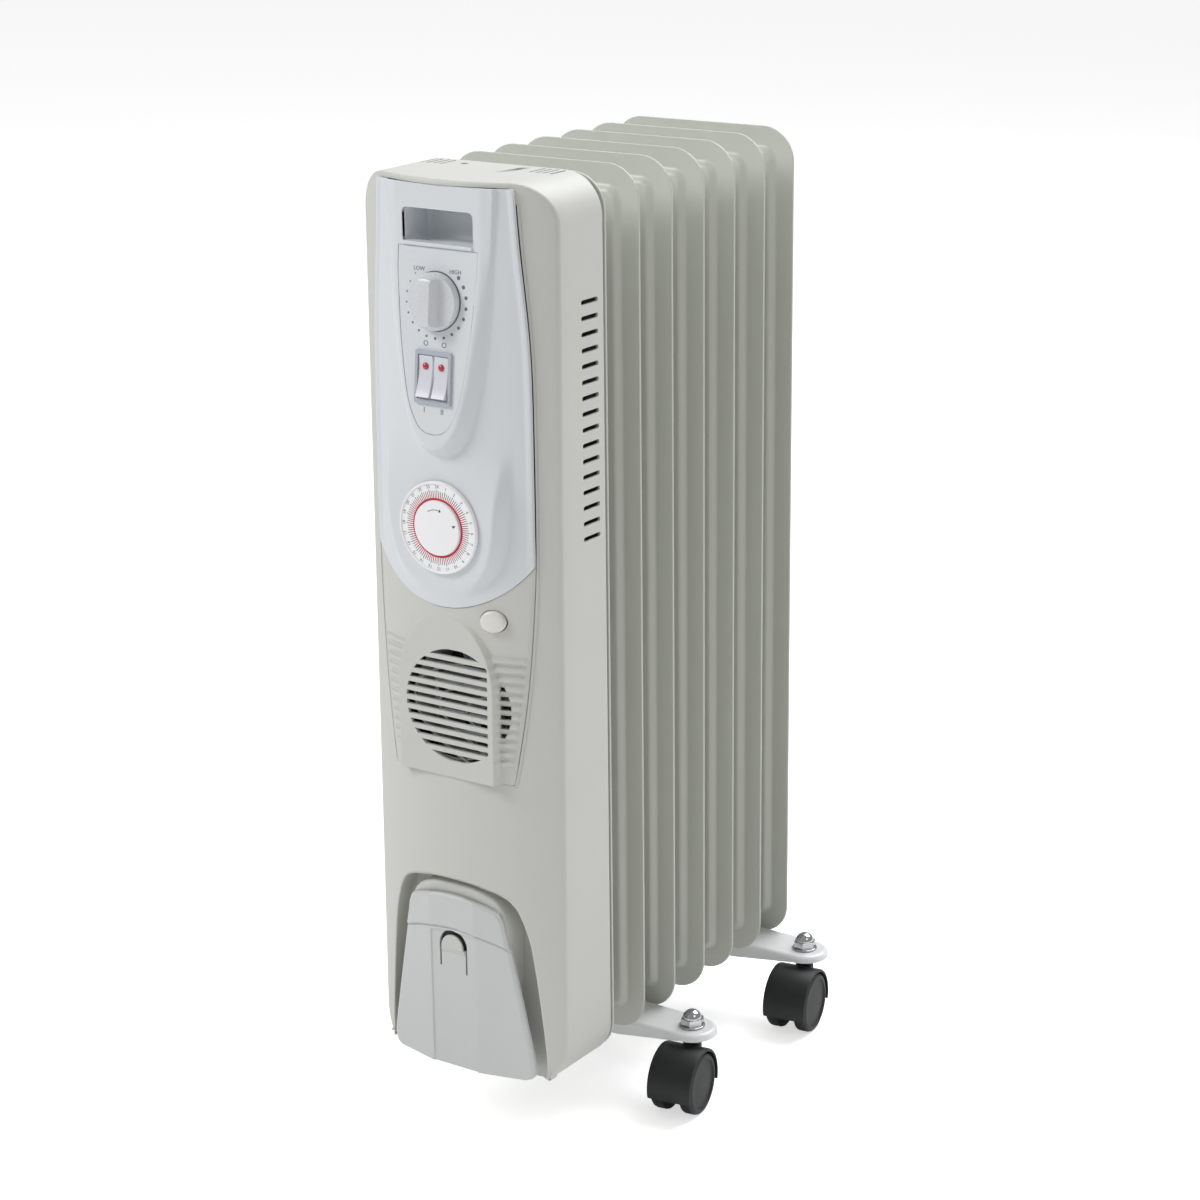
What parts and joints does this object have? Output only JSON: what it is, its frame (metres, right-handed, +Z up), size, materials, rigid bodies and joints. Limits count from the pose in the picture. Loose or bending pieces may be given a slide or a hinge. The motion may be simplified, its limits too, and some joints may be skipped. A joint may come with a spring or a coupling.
{
  "type": "oil filled radiator heater",
  "caption": "Portable oil filled radiator: tall pressed fins on swivel casters, with a bowed front casing for thermostat knob, rocker switches, timer dial, fan outlet and cord store.",
  "frame": {"origin": "on the floor under the middle of the bounding box", "axes": "+X to the right seen from the controls, -Y towards the control side, +Y along the row of fins, +Z up"},
  "size_m": [0.2364, 0.3244, 0.6312],
  "materials": {
    "fin_enamel": "smooth light grey enamel",
    "casing_plastic": "fine satin moulding in light warm grey",
    "shield_plastic": "satin moulding in cool white",
    "cream_plastic": "smooth cream white moulding",
    "white_plastic": "smooth white moulding",
    "red_lens": "clear red lamp lens",
    "dark_plastic": "dark moulding",
    "black_nylon": "black nylon with a slight sheen",
    "foot_enamel": "smooth white enamel",
    "zinc_steel": "zinc plated",
    "chrome": "bright plated"
  },
  "bodies": {
    "root": {"fin_1": "fin_enamel", "fin_2": "fin_enamel", "fin_3": "fin_enamel", "fin_4": "fin_enamel", "fin_5": "fin_enamel", "fin_6": "fin_enamel", "fin_7": "fin_enamel", "heating_element": "zinc_steel", "casing": "casing_plastic", "back_plate": "zinc_steel", "front_shield": "shield_plastic", "control_plate": "shield_plastic", "thermostat": "dark_plastic", "switch_housing": "shield_plastic", "timer_centre": "white_plastic", "timer_body": "dark_plastic", "turbo_switch": "dark_plastic", "fan_panel": "casing_plastic", "fan_guard": "zinc_steel", "fan_duct": "dark_plastic", "fan_heater": "zinc_steel", "fan_motor": "zinc_steel", "cord_neck": "casing_plastic", "cord_cover": "casing_plastic", "cord_bush": "black_nylon", "thermal_cutout": "zinc_steel", "terminal_block": "white_plastic", "foot_bar_front": "foot_enamel", "u_bolt_front": "zinc_steel", "wing_nut_front_left": "zinc_steel", "wing_nut_front_right": "zinc_steel", "caster_stem_front_left": "zinc_steel", "caster_stem_front_right": "zinc_steel", "dome_nut_front_left": "chrome", "dome_nut_front_right": "chrome", "foot_bar_rear": "foot_enamel", "u_bolt_rear": "zinc_steel", "wing_nut_rear_left": "zinc_steel", "wing_nut_rear_right": "zinc_steel", "caster_stem_rear_left": "zinc_steel", "caster_stem_rear_right": "zinc_steel", "dome_nut_rear_left": "chrome", "dome_nut_rear_right": "chrome"},
    "knob": {"thermostat_knob": "shield_plastic"},
    "rocker_left": {"rocker_1": "shield_plastic", "rocker_lamp_1": "red_lens"},
    "rocker_right": {"rocker_2": "shield_plastic", "rocker_lamp_2": "red_lens"},
    "dial": {"timer_dial": "white_plastic"},
    "button": {"turbo_button": "cream_plastic"},
    "impeller": {"fan_impeller": "dark_plastic"},
    "hood_front_left": {"caster_hood_front_left": "black_nylon"},
    "hood_front_right": {"caster_hood_front_right": "black_nylon"},
    "hood_rear_left": {"caster_hood_rear_left": "black_nylon"},
    "hood_rear_right": {"caster_hood_rear_right": "black_nylon"},
    "wheels_front_left": {"caster_wheels_front_left": "black_nylon"},
    "wheels_front_right": {"caster_wheels_front_right": "black_nylon"},
    "wheels_rear_left": {"caster_wheels_rear_left": "black_nylon"},
    "wheels_rear_right": {"caster_wheels_rear_right": "black_nylon"}
  },
  "joints": [
    {"name": "knob_turn", "type": "hinge", "parent": "root", "child": "knob", "pos_m": [0, -0.14745, 0.558], "axis": [0, -0.9957, 0.0926], "range_deg": [0, 268]},
    {"name": "rocker_left_tilt", "type": "hinge", "parent": "root", "child": "rocker_left", "pos_m": [-0.00585, -0.15054, 0.51189], "axis": [1, 0, 0], "range_deg": [0, 14]},
    {"name": "rocker_right_tilt", "type": "hinge", "parent": "root", "child": "rocker_right", "pos_m": [0.00585, -0.15054, 0.51189], "axis": [1, 0, 0], "range_deg": [0, 14]},
    {"name": "dial_turn", "type": "hinge", "parent": "root", "child": "dial", "pos_m": [0, -0.1515, 0.418], "axis": [0, -1, 0], "continuous": true},
    {"name": "button_press", "type": "slide", "parent": "root", "child": "button", "axis": [-0.2842, 0.9588, 0], "range_m": [0, 0.002], "stiffness_N_per_m": 200, "springref_m": -0.002},
    {"name": "impeller_spin", "type": "hinge", "parent": "root", "child": "impeller", "pos_m": [0.006, -0.1138, 0.303], "axis": [0, 1, 0], "continuous": true},
    {"name": "swivel_front_left", "type": "hinge", "parent": "root", "child": "hood_front_left", "pos_m": [-0.097, -0.01453, 0.04], "axis": [0, 0, 1], "continuous": true},
    {"name": "swivel_front_right", "type": "hinge", "parent": "root", "child": "hood_front_right", "pos_m": [0.097, -0.01453, 0.04], "axis": [0, 0, 1], "continuous": true},
    {"name": "swivel_rear_left", "type": "hinge", "parent": "root", "child": "hood_rear_left", "pos_m": [-0.097, 0.13547, 0.04], "axis": [0, 0, 1], "continuous": true},
    {"name": "swivel_rear_right", "type": "hinge", "parent": "root", "child": "hood_rear_right", "pos_m": [0.097, 0.13547, 0.04], "axis": [0, 0, 1], "continuous": true},
    {"name": "roll_front_left", "type": "hinge", "parent": "hood_front_left", "child": "wheels_front_left", "pos_m": [-0.09923, -0.03038, 0.021], "axis": [0.9903, -0.1392, 0], "continuous": true},
    {"name": "roll_front_right", "type": "hinge", "parent": "hood_front_right", "child": "wheels_front_right", "pos_m": [0.09923, -0.03038, 0.021], "axis": [0.9903, 0.1392, 0], "continuous": true},
    {"name": "roll_rear_left", "type": "hinge", "parent": "hood_rear_left", "child": "wheels_rear_left", "pos_m": [-0.09923, 0.11962, 0.021], "axis": [0.9903, -0.1392, 0], "continuous": true},
    {"name": "roll_rear_right", "type": "hinge", "parent": "hood_rear_right", "child": "wheels_rear_right", "pos_m": [0.09923, 0.11962, 0.021], "axis": [0.9903, 0.1392, 0], "continuous": true}
  ]
}
